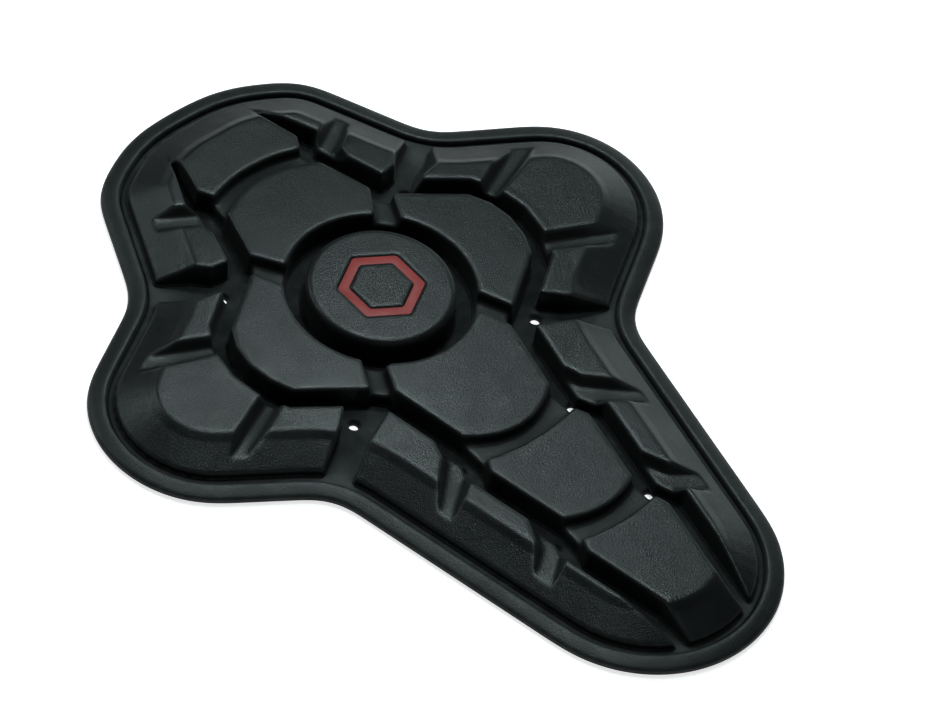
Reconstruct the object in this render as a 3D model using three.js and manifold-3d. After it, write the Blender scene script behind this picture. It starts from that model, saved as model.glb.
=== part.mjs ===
// Moulded impact pad that slips into the hip pocket of padded riding pants.
// Millimetres. The origin lies on the flat back face, under the middle of the round boss.
// +Z points out of the body, +Y to the wide head end, -Y to the tail.
import * as THREE from 'three';
import { mergeVertices } from 'three/addons/utils/BufferGeometryUtils.js';
import Module from 'manifold-3d';

const wasm = await Module();
wasm.setup();

// Driving dimensions
const headReach = 83.2;
const tailReach = 140.3;
const halfWidth = 89.4;
const sheetThickness = 2;
const rimWidth = 3.4;
const rimHeight = 3.6;
const seamWidth = 0.8;
const seamDepth = 1.2;
const seamLean = 0.2;
const footInset = 7;
const footWall = 2.3;
const footLean = 0.3;
const slopeWidth = 10;
const padRise = 8;
const webRise = 4.3;
const grooveWidth = 6.7;
const ringGap = 5.9;
const wallLean = 0.5;
const crossLean = 1.6;
const bossRadius = 19.2;
const bossGap = 6.6;
const bossExtra = 0.8;
const bossRounding = 0.9;
const ventDiameter = 2.6;
const inlayOuter = 12;
const inlayBand = 3.6;
const inlayDepth = 0.9;
const inlayThickness = 0.4;
const partGap = 0.3;

// Heights above the back face, and how far a cutter runs past what it cuts
const sheetTop = sheetThickness;
const padTop = sheetTop + padRise;
const webTop = sheetTop + webRise;
const bossTop = padTop + bossExtra;
const overcut = 5;

// Facets of round forms
const arcStep = THREE.MathUtils.degToRad(9);
const roundSides = 64;
const ventSides = 10;
const bowSteps = 8;

// Outline of one half, head to tail: x as a share of halfWidth, y of the reach on its side,
// and the corner's radius as a share of halfWidth
const outlineCorners = [
  { x: 0.175, y: 1.0, radius: 0.68 },
  { x: 0.395, y: 0.868, radius: 0.23 },
  { x: 0.568, y: 0.463, radius: 0.2 },
  { x: 1.0, y: 0.204, radius: 0.342 },
  { x: 1.0, y: -0.127, radius: 0.345 },
  { x: 0.568, y: -0.299, radius: 0.18 },
  { x: 0.328, y: -1.0, radius: 0.41 },
];

// Rolled rim from the back face over its top: inset as a share of rimWidth, height of rimHeight
const rimProfile = [
  { inset: 0.32, height: 0 },
  { inset: 0.09, height: 0.18 },
  { inset: 0, height: 0.45 },
  { inset: 0.13, height: 0.78 },
  { inset: 0.42, height: 1 },
  { inset: 0.75, height: 0.86 },
];

// Blocks of the middle column: the y of three pairs of corners and their half widths,
// all as shares, and how far the ends bow along y
const columnBlocks = {
  head_block: { y: [0.604, 0.649, 0.773], x: [0.164, 0.188, 0.155], nearBow: 0.031, farBow: 0 },
  ring_block_head: { y: [0.254, 0.343, 0.517], x: [0.172, 0.227, 0.176], nearBow: 0, farBow: 0.056 },
  ring_block_tail: { y: [-0.151, -0.205, -0.355], x: [0.181, 0.219, 0.166], nearBow: 0, farBow: -0.04 },
  tail_block_upper: {
    y: [-0.425, -0.45, -0.608],
    x: [0.167, 0.186, 0.132],
    nearBow: -0.012,
    farBow: -0.021,
  },
  tail_block_end: { y: [-0.668, -0.693, -0.861], x: [0.138, 0.152, 0.095], nearBow: -0.009, farBow: 0 },
};

// Ring block beside the boss: corners from the head side to the tail side, as shares
const ringSideCorners = [
  { x: 0.23, y: 0.187 },
  { x: 0.272, y: 0.278 },
  { x: 0.454, y: 0.144 },
  { x: 0.487, y: 0.076 },
  { x: 0.499, y: 0.0 },
  { x: 0.487, y: -0.05 },
  { x: 0.458, y: -0.092 },
  { x: 0.276, y: -0.171 },
  { x: 0.232, y: -0.114 },
];

// Webs between the ring's blocks: how far their outer edge stays inside the blocks' corners,
// and how deep their other corners reach into the side block and under the boss, as shares
const ringWeb = { pullIn: 0.12, intoBlock: 0.75, underBoss: 0.6 };

// Notches between the outer pads: x and y shares of their corners at the sheet and at the top
const headNotch = {
  foot: [
    [0.2, 0.36], [0.354, 0.371], [0.392, 0.41], [0.57, 0.53],
    [0.6, 0.41], [0.5, 0.388], [0.437, 0.353], [0.3, 0.25],
  ],
  top: [
    [0.2, 0.352], [0.349, 0.376], [0.386, 0.417], [0.57, 0.537],
    [0.6, 0.41], [0.465, 0.297], [0.408, 0.288], [0.3, 0.22],
  ],
};
const tailNotch = {
  foot: [
    [0.2, -0.222], [0.3, -0.24], [0.4, -0.266], [0.6, -0.34],
    [0.62, -0.28], [0.537, -0.244], [0.44, -0.203], [0.3, -0.14],
  ],
  top: [
    [0.2, -0.226], [0.291, -0.235], [0.394, -0.264], [0.6, -0.345],
    [0.62, -0.28], [0.537, -0.249], [0.434, -0.206], [0.3, -0.13],
  ],
};

// Lines that part the outer pads from each other, inside the notches: x and y shares
const headDivide = [[0.2, 0.31], [0.36, 0.35], [0.39, 0.385], [0.498, 0.44], [0.67, 0.62]];
const tailDivide = [[0.2, -0.2], [0.4, -0.236], [0.55, -0.29], [0.7, -0.37]];

// Cross grooves of the outer pads: x and y shares of the edge nearer to the boss or to the
// middle line and of the edge farther from it, from the ring or column out over the slope
const crossGrooves = {
  head: {
    near: [[0.201, 0.433], [0.262, 0.468], [0.273, 0.529], [0.459, 0.641]],
    far: [[0.201, 0.595], [0.256, 0.626], [0.447, 0.744]],
  },
  armHead: {
    near: [[0.492, 0.07], [0.564, 0.096], [0.689, 0.143], [0.94, 0.239]],
    far: [[0.447, 0.126], [0.521, 0.163], [0.604, 0.204], [0.85, 0.325]],
  },
  armTail: {
    near: [[0.492, -0.05], [0.562, -0.069], [0.696, -0.107], [0.94, -0.175]],
    far: [[0.447, -0.089], [0.521, -0.11], [0.615, -0.139], [0.85, -0.207]],
  },
  tailUpper: {
    near: [[0.201, -0.303], [0.254, -0.339], [0.271, -0.371], [0.33, -0.406], [0.492, -0.495]],
    far: [[0.19, -0.413], [0.26, -0.445], [0.311, -0.468], [0.47, -0.545]],
  },
  tailLower: {
    near: [[0.168, -0.542], [0.219, -0.57], [0.257, -0.622], [0.425, -0.702]],
    far: [[0.157, -0.652], [0.237, -0.691], [0.285, -0.714], [0.403, -0.77]],
  },
};

// Long grooves beside the head block, and the vent holes: x and y shares
const grooveMouth = [0.257, 0.629];
const grooveTip = [0.154, 0.862];
const vents = [[0.352, 0.308], [0.35, -0.192], [0.214, -0.393], [0.18, -0.631]];

const skin = { color: 0x2b2e2f, roughness: 0.62, metalness: 0 };
const sheetSkin = { color: 0x262829, roughness: 0.7, metalness: 0 };
const redSkin = { color: 0x9a3434, roughness: 0.55, metalness: 0 };

// Length along y of a share on the head or the tail side
function reachOn(side) {
  return side > 0 ? headReach : tailReach;
}

// Real place of a pair of shares
function place(x, y) {
  return new THREE.Vector2(x * halfWidth, y * reachOn(y));
}

function places(rows) {
  return rows.map(([x, y]) => place(x, y));
}

function mirrored(points) {
  return points.map((p) => new THREE.Vector2(-p.x, p.y)).reverse();
}

function bothSides(half) {
  return [...half, ...mirrored(half)];
}

// Outline moved inwards by inset, with an arc at each corner
function outlineAt(inset) {
  const corners = bothSides(outlineCorners.map((row) => place(row.x, row.y)));
  const radii = outlineCorners.map((row) => row.radius * halfWidth);
  const allRadii = [...radii, ...radii.slice().reverse()];
  const count = corners.length;
  const points = [];
  for (let i = 0; i < count; i += 1) {
    const before = corners[(i + count - 1) % count];
    const here = corners[i];
    const after = corners[(i + 1) % count];
    const into = here.clone().sub(before).normalize();
    const out = after.clone().sub(here).normalize();
    const turn = Math.atan2(into.cross(out), into.dot(out));
    const half = Math.tan(Math.abs(turn) / 2);
    const room = Math.min(before.distanceTo(here), here.distanceTo(after)) / 2;
    const radius = Math.min(allRadii[i], room / half);
    const start = here.clone().addScaledVector(into, -radius * half);
    const side = Math.sign(turn);
    const normal = new THREE.Vector2(-into.y, into.x).multiplyScalar(side);
    const centre = start.clone().addScaledVector(normal, radius);
    const steps = Math.max(2, Math.round(Math.abs(turn) / arcStep));
    const reach = radius + side * inset;
    for (let k = 0; k <= steps; k += 1) {
      const arm = normal.clone().multiplyScalar(-reach);
      points.push(arm.rotateAround(new THREE.Vector2(), (turn * k) / steps).add(centre));
    }
  }
  return points;
}

// Polygon grown outwards by a distance, with sharp corners
function grown(points, distance) {
  const count = points.length;
  const way = THREE.ShapeUtils.area(points) > 0 ? 1 : -1;
  return points.map((here, i) => {
    const into = here.clone().sub(points[(i + count - 1) % count]).normalize();
    const out = points[(i + 1) % count].clone().sub(here).normalize();
    const first = new THREE.Vector2(into.y, -into.x);
    const second = new THREE.Vector2(out.y, -out.x);
    const corner = first.clone().add(second).normalize();
    return here.clone().addScaledVector(corner, (way * distance) / corner.dot(first));
  });
}

// Points of a bowed edge between two corners, without the corners
function bowed(from, to, bow) {
  const points = [];
  for (let k = 1; k < bowSteps && bow !== 0; k += 1) {
    const t = k / bowSteps;
    const point = from.clone().lerp(to, t);
    point.y += bow * 4 * t * (1 - t);
    points.push(point);
  }
  return points;
}

function toSolid(geometry) {
  const bare = new THREE.BufferGeometry();
  bare.setAttribute('position', geometry.getAttribute('position'));
  bare.setIndex(geometry.getIndex());
  const merged = mergeVertices(bare, 1e-4);
  return new wasm.Manifold(new wasm.Mesh({
    numProp: 3,
    vertProperties: new Float32Array(merged.getAttribute('position').array),
    triVerts: new Uint32Array(merged.getIndex().array),
  }));
}

function toGeometry(solid) {
  const mesh = solid.getMesh();
  const geometry = new THREE.BufferGeometry();
  geometry.setAttribute('position', new THREE.BufferAttribute(new Float32Array(mesh.vertProperties), 3));
  geometry.setIndex(new THREE.BufferAttribute(new Uint32Array(mesh.triVerts), 1));
  geometry.computeVertexNormals();
  return geometry;
}

// Upright solid on a flat outline, from one height to another
function prism(points, low, high) {
  const geometry = new THREE.ExtrudeGeometry(new THREE.Shape(points), {
    depth: high - low,
    bevelEnabled: false,
  });
  geometry.translate(0, 0, low);
  return toSolid(geometry);
}

// Closed solid through outlines of equal point counts, each at its own height
function loft(rings) {
  const ccw = THREE.ShapeUtils.area(rings[0].points) > 0;
  const size = rings[0].points.length;
  const positions = [];
  for (const ring of rings) {
    const points = ccw ? ring.points : ring.points.slice().reverse();
    for (const p of points) positions.push(p.x, p.y, ring.z);
  }
  const index = [];
  const cap = (level) => {
    const points = ccw ? rings[level].points : rings[level].points.slice().reverse();
    return THREE.ShapeUtils.triangulateShape(points, []);
  };
  for (const [a, b, c] of cap(0)) index.push(a, c, b);
  const last = (rings.length - 1) * size;
  for (const [a, b, c] of cap(rings.length - 1)) index.push(last + a, last + b, last + c);
  for (let level = 0; level + 1 < rings.length; level += 1) {
    for (let i = 0; i < size; i += 1) {
      const j = (i + 1) % size;
      const a = level * size + i;
      const b = level * size + j;
      index.push(a, b, b + size, a, b + size, a + size);
    }
  }
  const geometry = new THREE.BufferGeometry();
  geometry.setAttribute('position', new THREE.Float32BufferAttribute(positions, 3));
  geometry.setIndex(index);
  return toSolid(geometry);
}

// Round solid about the Z axis from rows of radius and height
function turned(rows, sides) {
  const profile = rows.map(([r, z]) => new THREE.Vector2(r, z));
  const geometry = new THREE.LatheGeometry(profile, sides);
  geometry.rotateX(Math.PI / 2);
  return toSolid(geometry);
}

// Solid around an outline, gap outside it at the pads' top and gap plus lean at the sheet
function leaning(points, gap, lean) {
  return loft([
    { points: grown(points, gap + lean), z: 0 },
    { points: grown(points, gap + lean), z: sheetTop },
    { points: grown(points, gap), z: padTop },
    { points: grown(points, gap), z: padTop + overcut },
  ]);
}

// Whole raised form: an upright foot, then a slope up to the flat top
function raisedForm() {
  return loft([
    { points: outlineAt(footInset), z: sheetTop },
    { points: outlineAt(footInset + footLean), z: sheetTop + footWall },
    { points: outlineAt(footInset + slopeWidth), z: padTop },
  ]);
}

// Backing sheet with a thick rolled rim and the thin seam line inside it
function backingSheet() {
  const rim = rimProfile.map((row) => ({
    points: outlineAt(row.inset * rimWidth),
    z: row.height * rimHeight,
  }));
  const seamStart = rimWidth + seamLean;
  const seamEnd = seamStart + seamWidth;
  let sheet = loft([
    ...rim,
    { points: outlineAt(rimWidth), z: sheetTop },
    { points: outlineAt(seamStart), z: sheetTop - seamDepth },
    { points: outlineAt(seamEnd), z: sheetTop - seamDepth },
    { points: outlineAt(seamEnd + seamLean), z: sheetTop },
  ]);
  const drill = turned([
    [0, -overcut],
    [ventDiameter / 2, -overcut],
    [ventDiameter / 2, overcut],
    [0, overcut],
  ], ventSides);
  for (const at of places(vents)) {
    sheet = sheet.subtract(drill.translate([at.x, at.y, 0]));
    sheet = sheet.subtract(drill.translate([-at.x, at.y, 0]));
  }
  return sheet;
}

// Corners of a column block on the +X side
function blockHalf(block) {
  return block.y.map((y, i) => place(block.x[i], y));
}

// Flat outline of a block of the middle column, with a run out past its far end
function blockOutline(block, runOut) {
  const half = blockHalf(block);
  const reach = reachOn(block.y[0]);
  if (runOut) half.push(half[2].clone().setY(half[2].y + Math.sign(half[2].y) * runOut));
  const far = half[half.length - 1];
  const near = half[0];
  return [
    ...half,
    ...bowed(far, new THREE.Vector2(-far.x, far.y), block.farBow * reach),
    ...mirrored(half),
    ...bowed(new THREE.Vector2(-near.x, near.y), near, block.nearBow * reach),
  ];
}

// Straight-sided outline of a column block, for the grooves beside it
function blockSides(block, runOut) {
  const half = blockHalf(block);
  if (runOut) {
    const taper = half[2].clone().sub(half[1]);
    half.push(half[2].clone().addScaledVector(taper, runOut / Math.abs(taper.y)));
  }
  return bothSides(half);
}

const boreRadius = bossRadius + bossGap;
const bore = turned([
  [0, 0],
  [boreRadius - wallLean, 0],
  [boreRadius - wallLean, sheetTop],
  [boreRadius, padTop],
  [boreRadius, padTop + overcut],
  [0, padTop + overcut],
], roundSides);
const form = raisedForm();
const edgeRoom = footInset + slopeWidth + overcut;

// Low web that joins a column block to the block nearer to the boss
function webTo(inner, outer) {
  const from = place(inner.x[2], inner.y[2]);
  const to = place(outer.x[0], outer.y[0]);
  const way = Math.sign(from.y);
  const outline = bothSides([from.setY(from.y - way * overcut / 2), to.setY(to.y + way * overcut / 4)]);
  return prism(outline, sheetTop, webTop);
}

function columnPad(name, innerName, runOut) {
  const block = columnBlocks[name];
  const inner = columnBlocks[innerName];
  return leaning(blockOutline(block, runOut), 0, wallLean)
    .add(webTo(inner, block))
    .subtract(leaning(blockOutline(inner, 0), partGap, wallLean))
    .intersect(form);
}

function ringEndBlock(name) {
  return leaning(blockOutline(columnBlocks[name], 0), 0, wallLean).subtract(bore).intersect(form);
}

// Ring block on the +X side, with the low webs that join it to both ring ends
function ringSideBlock() {
  const outline = ringSideCorners.map((row) => place(row.x, row.y));
  const last = outline.length - 1;
  const ends = [
    { block: columnBlocks.ring_block_head, near: outline[0], wide: outline[1] },
    { block: columnBlocks.ring_block_tail, near: outline[last], wide: outline[last - 1] },
  ];
  const inside = outline[4].clone().multiplyScalar(ringWeb.intoBlock);
  let solid = leaning([...outline, new THREE.Vector2(0, 0)], 0, wallLean);
  for (const end of ends) {
    const otherNear = place(end.block.x[0], end.block.y[0]);
    const otherWide = place(end.block.x[1], end.block.y[1]).lerp(otherNear, ringWeb.pullIn);
    const ownWide = end.wide.clone().lerp(end.near, ringWeb.pullIn);
    const web = [inside, ownWide, otherWide, otherNear.multiplyScalar(ringWeb.underBoss)];
    solid = solid.add(prism(web, sheetTop, webTop));
    solid = solid.subtract(leaning(blockOutline(end.block, 0), partGap, wallLean));
  }
  return solid.subtract(bore).intersect(form);
}

// Cutter of a cross groove: its floor is the web's top and its walls lean apart
function crossGroove(row) {
  const edges = [...places(row.near), ...places(row.far).reverse()];
  return loft([
    { points: grown(edges, -crossLean), z: webTop },
    { points: edges, z: padTop },
    { points: edges, z: padTop + overcut },
  ]);
}

function notch(row) {
  return loft([
    { points: places(row.foot), z: 0 },
    { points: places(row.foot), z: sheetTop },
    { points: places(row.top), z: padTop },
    { points: places(row.top), z: padTop + overcut },
  ]);
}

// Deep channels beside the ring and the middle column
function channels() {
  const column = columnBlocks;
  const headStart = place(column.head_block.x[1], column.ring_block_head.y[2]);
  return [
    leaning(bothSides([headStart, place(...grooveMouth), place(...grooveTip)]), 0, -wallLean),
    leaning(blockSides(column.ring_block_head, 0), grooveWidth, -wallLean),
    leaning(blockSides(column.ring_block_tail, 0), grooveWidth, -wallLean),
    leaning(blockSides(column.tail_block_upper, 0), grooveWidth, -wallLean),
    leaning(blockSides(column.tail_block_end, edgeRoom), grooveWidth, -wallLean),
    leaning(ringSideCorners.map((row) => place(row.x, row.y)), ringGap, -wallLean),
  ];
}

// Region of an outer pad on the +X side, out to beyond the rim
function region(rows, farY) {
  const far = 2 * halfWidth;
  const line = places(rows);
  const end = line[line.length - 1];
  return [...line, new THREE.Vector2(far, end.y), new THREE.Vector2(far, farY)];
}

function outerPad(outline, cuts) {
  let solid = form.intersect(prism(outline, 0, padTop + overcut));
  for (const cut of [...channels(), notch(headNotch), notch(tailNotch), ...cuts]) {
    solid = solid.subtract(cut);
  }
  return solid;
}

function headSidePad() {
  const inner = place(...grooveTip).x;
  const outline = [...region(headDivide, 2 * headReach), new THREE.Vector2(inner, 2 * headReach)];
  outline.push(new THREE.Vector2(inner, outline[0].y));
  const besideBlock = leaning(blockOutline(columnBlocks.head_block, edgeRoom), partGap, wallLean);
  return outerPad(outline, [crossGroove(crossGrooves.head), besideBlock]);
}

function armPad() {
  const lower = places(tailDivide).reverse();
  const outline = [...region(headDivide, lower[0].y), ...lower];
  return outerPad(outline, [crossGroove(crossGrooves.armHead), crossGroove(crossGrooves.armTail)]);
}

function tailSidePad() {
  const outline = [...region(tailDivide, -2 * tailReach), new THREE.Vector2(0, -2 * tailReach)];
  outline.push(new THREE.Vector2(0, outline[0].y));
  return outerPad(outline, [crossGroove(crossGrooves.tailUpper), crossGroove(crossGrooves.tailLower)]);
}

function hexagon(radius) {
  const points = [];
  for (let k = 0; k < 6; k += 1) {
    const angle = THREE.MathUtils.degToRad(60 * k + 30);
    points.push(new THREE.Vector2(radius * Math.cos(angle), radius * Math.sin(angle)));
  }
  return points;
}

function hexagonRing(outer, inner, low, high) {
  return prism(hexagon(outer), low, high)
    .subtract(prism(hexagon(inner), low - overcut, high + overcut));
}

// Round boss with a rolled top edge and a hexagonal channel for the inlay
function centreBoss() {
  const arcInset = bossRounding * (1 - Math.SQRT1_2);
  const body = turned([
    [0, sheetTop],
    [bossRadius + wallLean, sheetTop],
    [bossRadius, bossTop - bossRounding],
    [bossRadius - arcInset, bossTop - arcInset],
    [bossRadius - bossRounding, bossTop],
    [0, bossTop],
  ], roundSides);
  const outer = inlayOuter + partGap;
  const inner = inlayOuter - inlayBand - partGap;
  return body.subtract(hexagonRing(outer, inner, bossTop - inlayDepth, bossTop + overcut));
}

function bossInlay() {
  const low = bossTop - inlayDepth;
  return hexagonRing(inlayOuter, inlayOuter - inlayBand, low, low + inlayThickness);
}

const pad = new THREE.Group();

function addNode(name, solid, finish) {
  const mesh = new THREE.Mesh(toGeometry(solid), new THREE.MeshStandardMaterial(finish));
  mesh.name = name;
  pad.add(mesh);
}

function addPair(name, solid) {
  addNode(`${name}_right`, solid, skin);
  addNode(`${name}_left`, solid.mirror([1, 0, 0]), skin);
}

addNode('backing_sheet', backingSheet(), sheetSkin);
addNode('centre_boss', centreBoss(), skin);
addNode('boss_inlay', bossInlay(), redSkin);
addNode('ring_block_head', ringEndBlock('ring_block_head'), skin);
addNode('ring_block_tail', ringEndBlock('ring_block_tail'), skin);
addPair('ring_block', ringSideBlock());
addNode('head_block', columnPad('head_block', 'ring_block_head', edgeRoom), skin);
addNode('tail_block_upper', columnPad('tail_block_upper', 'ring_block_tail', 0), skin);
addNode('tail_block_end', columnPad('tail_block_end', 'tail_block_upper', edgeRoom), skin);
addPair('head_side_pad', headSidePad());
addPair('arm_pad', armPad());
addPair('tail_side_pad', tailSidePad());

export default pad;
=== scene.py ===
"""Looks of the moulded hip impact pad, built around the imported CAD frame.

Lengths are metres in the CAD's own frame: the back face is at z = 0, +Z points out through
the blocks and +Y to the wide head end.
"""
import math

import bmesh
import bpy
import numpy as np
from mathutils import Matrix, Vector
from mathutils.geometry import delaunay_2d_cdt


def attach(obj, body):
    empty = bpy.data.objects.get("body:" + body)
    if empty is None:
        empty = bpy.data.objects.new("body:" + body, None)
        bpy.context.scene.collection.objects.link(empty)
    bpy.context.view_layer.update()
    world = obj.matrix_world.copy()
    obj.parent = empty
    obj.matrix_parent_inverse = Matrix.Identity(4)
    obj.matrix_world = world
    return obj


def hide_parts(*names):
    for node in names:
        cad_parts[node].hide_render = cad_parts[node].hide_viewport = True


MM = 0.001

# The photograph's camera: it aims at a point on the pads' top, from the tail's left side
AIM = Vector((5.8, -30.7, 10.0)) * MM
CAMERA_AZIMUTH = -49.2
CAMERA_ELEVATION = 48.46
CAMERA_ROLL = 10.7
CAMERA_DISTANCE = 2.0643
LENS = 302.8

# Soft boxes: azimuth and elevation in degrees, distance and side in metres, power in watts
LAMPS = (
    {"name": "back", "azimuth": 140, "elevation": 61, "distance": 0.5, "side": 0.08, "power": 0.8},
    {"name": "top", "azimuth": 140, "elevation": 82, "distance": 1.2, "side": 0.2, "power": 3.5},
    {"name": "left", "azimuth": 196, "elevation": 38, "distance": 1.3, "side": 0.25, "power": 2.5},
    {"name": "far", "azimuth": 112, "elevation": 12, "distance": 1.6, "side": 0.8, "power": 3.0},
    {"name": "front", "azimuth": -20, "elevation": 16, "distance": 1.6, "side": 0.8, "power": 0.8},
)
LAMP_COLOUR = (0.86, 1.0, 1.0)

# Strength of the world's light and of the floor's own, and the picture's gamma
WORLD_COLOUR = (0.95, 0.97, 1.0, 1)
WORLD_LIGHT = 0.045
FLOOR_GLOW = 0.75
PICTURE_GAMMA = 0.8

# Floor: half its side, and its level
FLOOR_HALF = 12.0
FLOOR_LEVEL = -0.02 * MM

# Moulded skin: scales of the noises, and strengths and heights of the bumps
CLOUD_SCALE = 38
RUB_SCALE = 260
GLOSS_SCALE = 90
GRAIN_SCALE = 2500
GRAIN_HEIGHT = 0.1 * MM
WAVE_SCALE = 130
WAVE_STRENGTH = 0.3
WAVE_HEIGHT = 0.4 * MM

# Hollows of the moulded skin: how far round a point is looked for walls, the share of the dark
# colour painted at their bottom as shade, and the roughness that they add
GROOVE_REACH = 8 * MM
GROOVE_PAINTED_SHADE = 0.35
GROOVE_MATT = 0.6

# Corners of the CAD nodes nearer than this are one, and a bulge of this height is a full edge
WELD = 0.001 * MM
FULL_EDGE = 0.035 * MM

# Moulded skin of the raised blocks
FINE_VOXEL = 0.22 * MM
SKIN_VOXEL = 0.4 * MM
BOSS_VOXEL = 0.25 * MM
CLOSING = 0.22 * MM
FOOT_DEPTH = 1.6 * MM
FOOT_FILLET = 0.7 * MM
GROWTH = 0.4 * MM
BOSS_GROWTH = 0.7 * MM
SKIN_ROUNDING = 14
BOSS_ROUNDING = 18

# Crown of the tops: fall at a distance from the centre, and the heights between which it grows
CROWN_FALL = 0.7 * MM
CROWN_REACH = 42 * MM
CROWN_START = 4 * MM
CROWN_FULL = 9 * MM

# Most triangles that a moulded piece keeps
PIECE_TRIANGLES = 170000

# Backing sheet: step along its outline, the outline's smoothing length and outward shift,
# the vents' sides and least spacing, and the countersink at their top
OUTLINE_STEP = 0.6 * MM
OUTLINE_SMOOTH = 2.4 * MM
OUTLINE_SHIFT = 0.4 * MM
VENT_SIDES = 24
VENT_SPACING = 5 * MM
VENT_DEPTH = 1.1 * MM
VENT_FLARE = 0.7 * MM

# Sheet's section, from the back over the leaning rim and the seam line to the blocks:
# inset from the outline and height above the back, in mm
SHEET_SECTION = (
    (6.4, 0.0), (2.6, 0.0), (1.6, 0.05), (0.95, 0.2), (0.45, 0.5), (0.14, 0.9), (0.0, 1.35),
    (0.05, 1.75), (0.22, 2.08), (0.5, 2.33), (0.9, 2.54), (1.4, 2.72), (2.0, 2.89), (2.6, 3.04),
    (3.2, 3.17), (3.8, 3.26), (4.3, 3.26), (4.65, 3.14), (4.85, 2.85), (4.95, 2.4), (5.0, 1.8),
    (5.06, 1.5), (5.16, 1.4), (5.26, 1.5), (5.33, 1.72), (5.42, 1.9), (5.56, 1.98), (5.8, 2.0),
    (6.4, 2.0),
)

COLUMN_NODES = (
    "ring_block_head", "ring_block_tail", "ring_block_right", "ring_block_left",
    "head_block", "tail_block_upper", "tail_block_end",
    "head_side_pad_right", "head_side_pad_left",
)
OUTER_PADS = ("arm_pad_right", "arm_pad_left", "tail_side_pad_right", "tail_side_pad_left")


def link(mesh, name):
    """New object on the scene for a mesh."""
    piece = bpy.data.objects.new(name, mesh)
    bpy.context.scene.collection.objects.link(piece)
    return piece


def welded(nodes):
    """The CAD nodes' triangles in one bmesh, with their shared corners merged."""
    solid = bmesh.new()
    for node in nodes:
        solid.from_mesh(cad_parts[node].data)
    bmesh.ops.remove_doubles(solid, verts=solid.verts, dist=WELD)
    return solid


def modified(piece, kind, **values):
    """Adds one modifier to the piece."""
    modifier = piece.modifiers.new(kind.lower(), kind)
    for key, value in values.items():
        setattr(modifier, key, value)


def baked(piece):
    """Applies the piece's modifiers to its mesh."""
    graph = bpy.context.evaluated_depsgraph_get()
    mesh = bpy.data.meshes.new_from_object(piece.evaluated_get(graph))
    old = piece.data
    piece.modifiers.clear()
    piece.data = mesh
    bpy.data.meshes.remove(old)


def coordinates(mesh):
    flat = np.zeros(len(mesh.vertices) * 3, np.float32)
    mesh.vertices.foreach_get("co", flat)
    return flat.reshape(-1, 3).astype(float)


def set_coordinates(mesh, points):
    mesh.vertices.foreach_set("co", points.astype(np.float32).ravel())
    mesh.update()


def normals(mesh):
    flat = np.zeros(len(mesh.vertices) * 3, np.float32)
    mesh.vertex_normals.foreach_get("vector", flat)
    return flat.reshape(-1, 3).astype(float)


def edge_pairs(mesh):
    pairs = np.zeros(len(mesh.edges) * 2, np.int32)
    mesh.edges.foreach_get("vertices", pairs)
    return pairs.reshape(-1, 2)


def spread(values, pairs, steps, share=0.5):
    """Values at the vertices after some steps of averaging with their neighbours."""
    count = len(values)
    one, two = pairs[:, 0], pairs[:, 1]
    degree = np.maximum(np.bincount(pairs.ravel(), minlength=count), 1)
    columns = values.reshape(count, -1).astype(float)
    for _ in range(steps):
        mean = np.empty_like(columns)
        for k in range(columns.shape[1]):
            total = np.bincount(one, columns[two, k], count)
            mean[:, k] = (total + np.bincount(two, columns[one, k], count)) / degree
        columns = columns * (1 - share) + mean * share
    return columns.reshape(values.shape)


def flare_foot(mesh, floor):
    """Moves the lowest part of the walls outwards, into a fillet on the sheet."""
    points, facing = coordinates(mesh), normals(mesh)
    height = np.clip(points[:, 2] - floor, 0, FOOT_FILLET)
    rest = FOOT_FILLET - height
    reach = FOOT_FILLET - np.sqrt(np.maximum(FOOT_FILLET**2 - rest**2, 0))
    level = np.linalg.norm(facing[:, :2], axis=1)
    side = facing[:, :2] / np.maximum(level, 1e-6)[:, None]
    points[:, :2] += side * (reach * np.clip(level * 2 - 0.6, 0, 1))[:, None]
    set_coordinates(mesh, points)


def mark_edges(mesh):
    """Stores how strongly each vertex lies on a raised edge, from 0 to 1, for the materials."""
    pairs = edge_pairs(mesh)
    points = coordinates(mesh)
    bulge = ((points - spread(points, pairs, 3)) * normals(mesh)).sum(axis=1)
    edge = np.clip(spread(bulge, pairs, 2) / FULL_EDGE, 0, 1)
    attribute = mesh.attributes.new("edge", "FLOAT", "POINT")
    attribute.data.foreach_set("value", edge.astype(np.float32))


def crown(points):
    """How far the moulded tops fall away from the boss's centre, in metres."""
    away = np.linalg.norm(points[:, :2], axis=1)
    top = np.clip((points[:, 2] - CROWN_START) / (CROWN_FULL - CROWN_START), 0, 1)
    return CROWN_FALL * top * np.minimum(away / CROWN_REACH, 1.25) ** 2


def cut_level(mesh, floor):
    """Cuts the mesh flat at a height and closes it there."""
    solid = bmesh.new()
    solid.from_mesh(mesh)
    everything = solid.verts[:] + solid.edges[:] + solid.faces[:]
    cut = bmesh.ops.bisect_plane(
        solid, geom=everything, dist=1e-7, plane_co=(0, 0, floor), plane_no=(0, 0, -1),
        clear_outer=True,
    )
    rim = [part for part in cut["geom_cut"] if isinstance(part, bmesh.types.BMEdge)]
    bmesh.ops.triangle_fill(solid, use_beauty=True, use_dissolve=False, edges=rim)
    bmesh.ops.recalc_face_normals(solid, faces=solid.faces)
    solid.to_mesh(mesh)
    solid.free()


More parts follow.
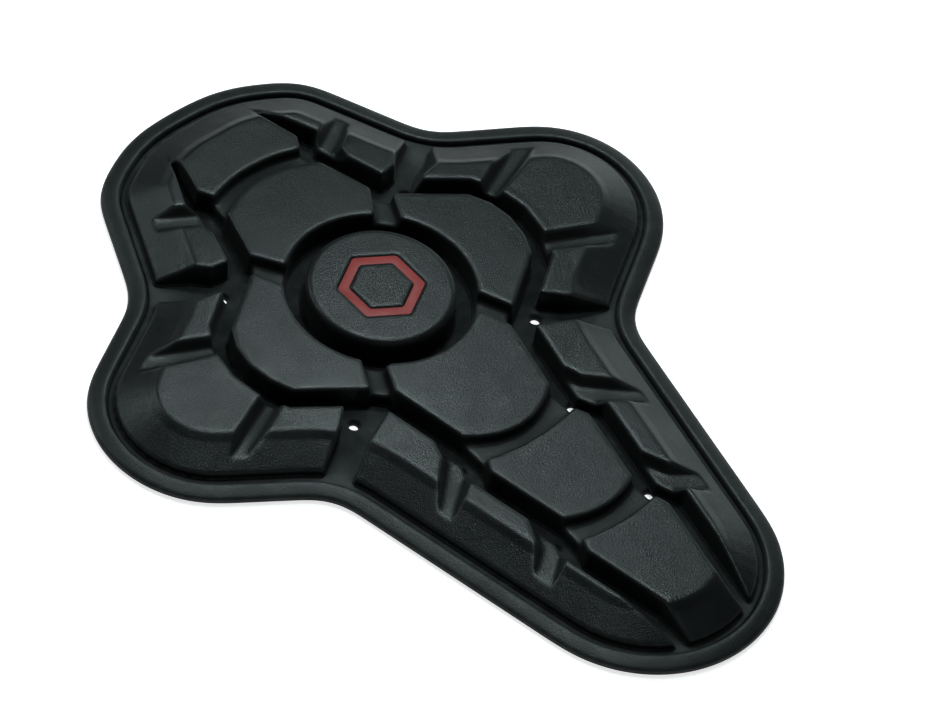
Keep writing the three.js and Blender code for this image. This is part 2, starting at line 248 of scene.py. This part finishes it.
def moulded(name, nodes, voxel, steps, growth):
    """One soft-edged moulded piece from CAD nodes, flat where it stands on the sheet."""
    solid = welded(nodes)
    floor = min(vertex.co.z for vertex in solid.verts)
    for vertex in solid.verts:
        if vertex.co.z < floor + 0.01 * MM:
            vertex.co.z -= FOOT_DEPTH
    mesh = bpy.data.meshes.new(name)
    solid.to_mesh(mesh)
    solid.free()
    piece = link(mesh, name)
    modified(piece, "REMESH", mode="VOXEL", voxel_size=FINE_VOXEL)
    modified(piece, "DISPLACE", strength=growth + CLOSING, mid_level=0)
    modified(piece, "REMESH", mode="VOXEL", voxel_size=voxel)
    modified(piece, "DISPLACE", strength=-CLOSING, mid_level=0)
    modified(piece, "SMOOTH", factor=0.5, iterations=steps)
    baked(piece)
    points = coordinates(piece.data)
    points[:, 2] -= growth + crown(points)
    set_coordinates(piece.data, points)
    flare_foot(piece.data, floor)
    cut_level(piece.data, floor)
    piece.data.calc_loop_triangles()
    count = len(piece.data.loop_triangles)
    if count > PIECE_TRIANGLES:
        modified(piece, "DECIMATE", ratio=PIECE_TRIANGLES / count)
        baked(piece)
    mark_edges(piece.data)
    piece.data.shade_smooth()
    return piece


def smoothed_loop(points, width):
    """Closed row of points after a Gaussian blur of that width, in steps."""
    reach = int(width * 4)
    offsets = np.arange(-reach, reach + 1)
    weights = np.exp(-0.5 * (offsets / width) ** 2)
    weights /= weights.sum()
    return sum(w * np.roll(points, -o, axis=0) for w, o in zip(weights, offsets))


def sheet_outline(solid):
    """The sheet's widest outline, evenly stepped and smooth, anticlockwise."""
    start = max(solid.verts, key=lambda vertex: vertex.co.x)
    loop, here, before = [], start, None
    while here is not start or not loop:
        loop.append(here.co.xy.to_tuple())
        beside = [edge.other_vert(here) for edge in here.link_edges]
        beside = [v for v in beside if abs(v.co.z - start.co.z) < 1e-6 and v is not before]
        before, here = here, max(beside, key=lambda v: v.co.y) if before is None else beside[0]
    corners = np.array(loop + loop[:1])
    along = np.concatenate([[0], np.cumsum(np.linalg.norm(np.diff(corners, axis=0), axis=1))])
    places = np.linspace(0, along[-1], round(along[-1] / OUTLINE_STEP), endpoint=False)
    points = np.stack([np.interp(places, along, corners[:, k]) for k in (0, 1)], axis=1)
    return inset_loop(smoothed_loop(points, OUTLINE_SMOOTH / OUTLINE_STEP), -OUTLINE_SHIFT)


def inset_loop(outline, inset):
    """Anticlockwise outline moved inwards by a distance in metres."""
    ahead = np.roll(outline, -1, axis=0) - np.roll(outline, 1, axis=0)
    ahead /= np.linalg.norm(ahead, axis=1)[:, None]
    return outline + np.stack([-ahead[:, 1], ahead[:, 0]], axis=1) * inset


def sheet_vents(solid):
    """Middle and radius of each vent hole, from the upright edges of its wall."""
    ends = [(edge.verts[0].co, edge.verts[1].co) for edge in solid.edges]
    wall = [np.array(a.xy) for a, b in ends if (a.xy - b.xy).length < 1e-6 < abs(a.z - b.z)]
    vents = []
    while wall:
        group = [p for p in wall if np.linalg.norm(p - wall[0]) < VENT_SPACING]
        wall = [p for p in wall if np.linalg.norm(p - wall[0]) >= VENT_SPACING]
        middle = np.mean(group, axis=0)
        vents.append((middle, np.linalg.norm(group[0] - middle)))
    return vents


def circle(middle, radius):
    turns = np.linspace(0, 2 * math.pi, VENT_SIDES, endpoint=False)
    return middle + radius * np.stack([np.cos(turns), np.sin(turns)], axis=1)


def add_band(faces, low, high, count):
    """Quads between two closed rows of as many vertices, given their first indices."""
    for i in range(count):
        j = (i + 1) % count
        faces.append((low + i, low + j, high + j, high + i))


def add_cap(points, faces, rows, upward):
    """Flat faces between an outer row of vertices and the rows of holes inside it."""
    index = [i for first, count in rows for i in range(first, first + count)]
    edges, start = [], 0
    for _, count in rows:
        edges += [(start + i, start + (i + 1) % count) for i in range(count)]
        start += count
    flat = [Vector(points[i][:2]) for i in index]
    filled = delaunay_2d_cdt(flat, edges, [], 2, 1e-9)
    for face in filled[2]:
        corners = [index[filled[3][v][0]] for v in face]
        inside = any(first <= min(corners) and max(corners) < first + count
                     for first, count in rows[1:])
        if not inside:
            faces.append(corners if upward else corners[::-1])


def sheet_skin():
    """Backing sheet with its rolled rim, seam line and vent holes."""
    solid = welded(["backing_sheet"])
    outline = sheet_outline(solid)
    vents = sheet_vents(solid)
    solid.free()
    points, faces = [], []

    def add_row(row, height):
        first = len(points)
        points.extend((x, y, height) for x, y in row)
        return first

    starts = [add_row(inset_loop(outline, inset * MM), height * MM) for inset, height in SHEET_SECTION]
    for low, high in zip(starts, starts[1:]):
        add_band(faces, low, high, len(outline))
    bottom, top = SHEET_SECTION[0][1] * MM, SHEET_SECTION[-1][1] * MM
    under, over = [(starts[0], len(outline))], [(starts[-1], len(outline))]
    for middle, radius in vents:
        rows = [
            add_row(circle(middle, radius), bottom),
            add_row(circle(middle, radius), top - VENT_DEPTH),
            add_row(circle(middle, radius + 0.6 * VENT_FLARE), top - 0.25 * VENT_DEPTH),
            add_row(circle(middle, radius + VENT_FLARE), top),
        ]
        for low, high in zip(rows, rows[1:]):
            add_band(faces, high, low, VENT_SIDES)
        under.append((rows[0], VENT_SIDES))
        over.append((rows[-1], VENT_SIDES))
    add_cap(points, faces, under, upward=False)
    add_cap(points, faces, over, upward=True)
    mesh = bpy.data.meshes.new("sheet_skin")
    mesh.from_pydata(points, [], faces)
    mesh.validate()
    mesh.update()
    mark_edges(mesh)
    mesh.shade_smooth()
    return link(mesh, "sheet_skin")


def inlay_skin():
    """Red inlay of the boss, with softened edges."""
    solid = welded(["boss_inlay"])
    bmesh.ops.dissolve_limit(
        solid, angle_limit=math.radians(2), verts=solid.verts, edges=solid.edges,
    )
    mesh = bpy.data.meshes.new("inlay_skin")
    solid.to_mesh(mesh)
    solid.free()
    piece = link(mesh, "inlay_skin")
    modified(piece, "BEVEL", width=0.15 * MM, segments=3, limit_method="ANGLE")
    baked(piece)
    mark_edges(piece.data)
    piece.data.shade_smooth()
    return piece


def node(tree, kind, **inputs):
    """New shader node with its inputs set or linked; a socket name may use _ for a space."""
    made = tree.nodes.new(kind)
    for key, value in inputs.items():
        socket = made.inputs[key.replace("_", " ")] if isinstance(key, str) else made.inputs[key]
        if isinstance(value, bpy.types.NodeSocket):
            tree.links.new(value, socket)
        else:
            socket.default_value = value
    return made


def ranged(tree, value, low, high, from_low=0.3, from_high=0.7):
    """Value mapped from a noise's usual span onto a range."""
    made = node(tree, "ShaderNodeMapRange", Value=value)
    made.inputs["From Min"].default_value = from_low
    made.inputs["From Max"].default_value = from_high
    made.inputs["To Min"].default_value = low
    made.inputs["To Max"].default_value = high
    return made.outputs["Result"]


def noise(tree, place, scale, detail=2.0, roughness=0.5):
    return node(
        tree, "ShaderNodeTexNoise", Vector=place, Scale=scale, Detail=detail, Roughness=roughness,
    ).outputs["Fac"]


def mixed(tree, share, one, two):
    """Colour mix of two colours or sockets."""
    made = tree.nodes.new("ShaderNodeMix")
    made.data_type = "RGBA"
    for socket, value in ((made.inputs[0], share), (made.inputs[6], one), (made.inputs[7], two)):
        if isinstance(value, bpy.types.NodeSocket):
            tree.links.new(value, socket)
        else:
            socket.default_value = value
    return made.outputs[2]


def moulded_material(name, dark, light, worn, roughness, grain):
    """Satin moulded skin: slow colour and gloss variation, fine grain, rubbed edges, painted shade in
    hollows.
    """
    material = bpy.data.materials.new(name)
    material.use_nodes = True
    tree = material.node_tree
    shader = tree.nodes["Principled BSDF"]
    place = tree.nodes.new("ShaderNodeTexCoord").outputs["Object"]
    edge = tree.nodes.new("ShaderNodeAttribute")
    edge.attribute_name = "edge"
    cloudy = noise(tree, place, CLOUD_SCALE, 3)
    clean = mixed(tree, ranged(tree, cloudy, 0, 1), dark, light)
    hollow = node(tree, "ShaderNodeAmbientOcclusion", Distance=GROOVE_REACH).outputs["AO"]
    # Painted shade: where ambient occlusion finds walls close by, the colour goes towards a darker
    # copy of the dark tone
    painted_shade_colour = tuple(GROOVE_PAINTED_SHADE * part for part in dark[:3]) + (1,)
    colour = mixed(tree, ranged(tree, hollow, 0, 1, 0.45, 0.85), painted_shade_colour, clean)
    rub = node(tree, "ShaderNodeMath")
    rub.operation = "MULTIPLY"
    tree.links.new(edge.outputs["Fac"], rub.inputs[0])
    tree.links.new(ranged(tree, noise(tree, place, RUB_SCALE, 4), 0.2, 0.75), rub.inputs[1])
    tree.links.new(mixed(tree, rub.outputs[0], colour, worn), shader.inputs["Base Color"])
    matt = ranged(tree, hollow, GROOVE_MATT, 0, 0.5, 0.9)
    patchy = noise(tree, place, GLOSS_SCALE, 4, 0.6)
    open_skin = ranged(tree, patchy, roughness - 0.05, roughness + 0.06)
    rough = node(tree, "ShaderNodeMath")
    rough.use_clamp = True
    tree.links.new(open_skin, rough.inputs[0])
    tree.links.new(matt, rough.inputs[1])
    tree.links.new(rough.outputs[0], shader.inputs["Roughness"])
    pebble = noise(tree, place, GRAIN_SCALE, 3, 0.6)
    fine = node(tree, "ShaderNodeBump", Strength=grain, Distance=GRAIN_HEIGHT, Height=pebble)
    waves = noise(tree, place, WAVE_SCALE, 2)
    slow = node(
        tree, "ShaderNodeBump", Strength=WAVE_STRENGTH, Distance=WAVE_HEIGHT, Height=waves,
    )
    tree.links.new(slow.outputs["Normal"], fine.inputs["Normal"])
    tree.links.new(fine.outputs["Normal"], shader.inputs["Normal"])
    shader.inputs["IOR"].default_value = 1.5
    shader.inputs["Sheen Weight"].default_value = 0.06
    shader.inputs["Sheen Roughness"].default_value = 0.5
    return material


def aimed(location, target, roll=0.0):
    """Matrix of a camera or lamp at a place, looking at a target."""
    back = (location - target).normalized()
    turn = back.to_track_quat("Z", "Y").to_matrix().to_4x4()
    return Matrix.Translation(location) @ turn @ Matrix.Rotation(roll, 4, "Z")


def around(azimuth, elevation, distance, target):
    """Place seen from the target at an azimuth (0 is on the -Y side) and elevation."""
    a, e = math.radians(azimuth), math.radians(elevation)
    back = Vector((math.sin(a) * math.cos(e), -math.cos(a) * math.cos(e), math.sin(e)))
    return target + back * distance


def add_camera():
    camera = bpy.data.objects.new("camera", bpy.data.cameras.new("camera"))
    bpy.context.scene.collection.objects.link(camera)
    location = around(CAMERA_AZIMUTH, CAMERA_ELEVATION, CAMERA_DISTANCE, AIM)
    camera.matrix_world = aimed(location, AIM, math.radians(CAMERA_ROLL))
    camera.data.lens = LENS
    camera.data.clip_start = 0.1
    bpy.context.scene.camera = camera


def add_floor():
    mesh = bpy.data.meshes.new("floor")
    signs = ((-1, -1), (1, -1), (1, 1), (-1, 1))
    corners = [(x * FLOOR_HALF, y * FLOOR_HALF, FLOOR_LEVEL) for x, y in signs]
    mesh.from_pydata(corners, [], [(0, 1, 2, 3)])
    floor = link(mesh, "floor")
    material = bpy.data.materials.new("floor_paper")
    material.use_nodes = True
    tree = material.node_tree
    shader = tree.nodes["Principled BSDF"]
    place = tree.nodes.new("ShaderNodeTexCoord").outputs["Object"]
    tone = ranged(tree, noise(tree, place, 6, 2), 0, 1)
    paper = mixed(tree, tone, (0.86, 0.86, 0.86, 1), (0.88, 0.88, 0.88, 1))
    tree.links.new(paper, shader.inputs["Base Color"])
    shader.inputs["Roughness"].default_value = 0.9
    shader.inputs["Emission Color"].default_value = (1, 1, 1, 1)
    shader.inputs["Emission Strength"].default_value = FLOOR_GLOW
    mesh.materials.append(material)


def add_lights():
    for row in LAMPS:
        lamp = bpy.data.lights.new(row["name"], "AREA")
        lamp.shape = "SQUARE"
        lamp.size = row["side"]
        lamp.energy = row["power"]
        lamp.color = LAMP_COLOUR
        piece = bpy.data.objects.new(row["name"], lamp)
        bpy.context.scene.collection.objects.link(piece)
        target = Vector((0, -0.03, 0))
        location = around(row["azimuth"], row["elevation"], row["distance"], target)
        piece.matrix_world = aimed(location, target)
    world = bpy.data.worlds.new("studio")
    world.use_nodes = True
    world.node_tree.nodes["Background"].inputs["Color"].default_value = WORLD_COLOUR
    world.node_tree.nodes["Background"].inputs["Strength"].default_value = WORLD_LIGHT
    bpy.context.scene.world = world
    bpy.context.scene.view_settings.view_transform = "Standard"
    bpy.context.scene.view_settings.gamma = PICTURE_GAMMA


def finish_piece(piece, material, nodes):
    piece.data.materials.clear()
    piece.data.materials.append(material)
    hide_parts(*nodes)
    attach(piece, "root")


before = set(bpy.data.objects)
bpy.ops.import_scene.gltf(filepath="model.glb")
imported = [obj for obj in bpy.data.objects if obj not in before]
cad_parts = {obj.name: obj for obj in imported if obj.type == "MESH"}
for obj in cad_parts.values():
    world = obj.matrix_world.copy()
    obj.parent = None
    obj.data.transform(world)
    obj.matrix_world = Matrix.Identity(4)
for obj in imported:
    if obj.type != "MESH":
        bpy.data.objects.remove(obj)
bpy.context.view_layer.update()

foam = moulded_material(
    "foam_skin", (0.010, 0.0118, 0.0125, 1), (0.0155, 0.0178, 0.0185, 1),
    (0.06, 0.065, 0.068, 1), 0.33, 0.9,
)
backing = moulded_material(
    "backing_skin", (0.0095, 0.011, 0.0118, 1), (0.0145, 0.0165, 0.0172, 1),
    (0.05, 0.054, 0.056, 1), 0.42, 0.9,
)
red = moulded_material(
    "red_inlay", (0.36, 0.05, 0.05, 1), (0.44, 0.07, 0.065, 1), (0.5, 0.1, 0.09, 1), 0.5, 0.4,
)

finish_piece(
    moulded("column_skin", COLUMN_NODES, SKIN_VOXEL, SKIN_ROUNDING, GROWTH),
    foam, COLUMN_NODES,
)
for pad_node in OUTER_PADS:
    finish_piece(
        moulded(pad_node + "_skin", [pad_node], SKIN_VOXEL, SKIN_ROUNDING, GROWTH),
        foam, [pad_node],
    )
finish_piece(
    moulded("boss_skin", ["centre_boss"], BOSS_VOXEL, BOSS_ROUNDING, BOSS_GROWTH),
    foam, ["centre_boss"],
)
finish_piece(inlay_skin(), red, ["boss_inlay"])
finish_piece(sheet_skin(), backing, ["backing_sheet"])

add_camera()
add_floor()
add_lights()
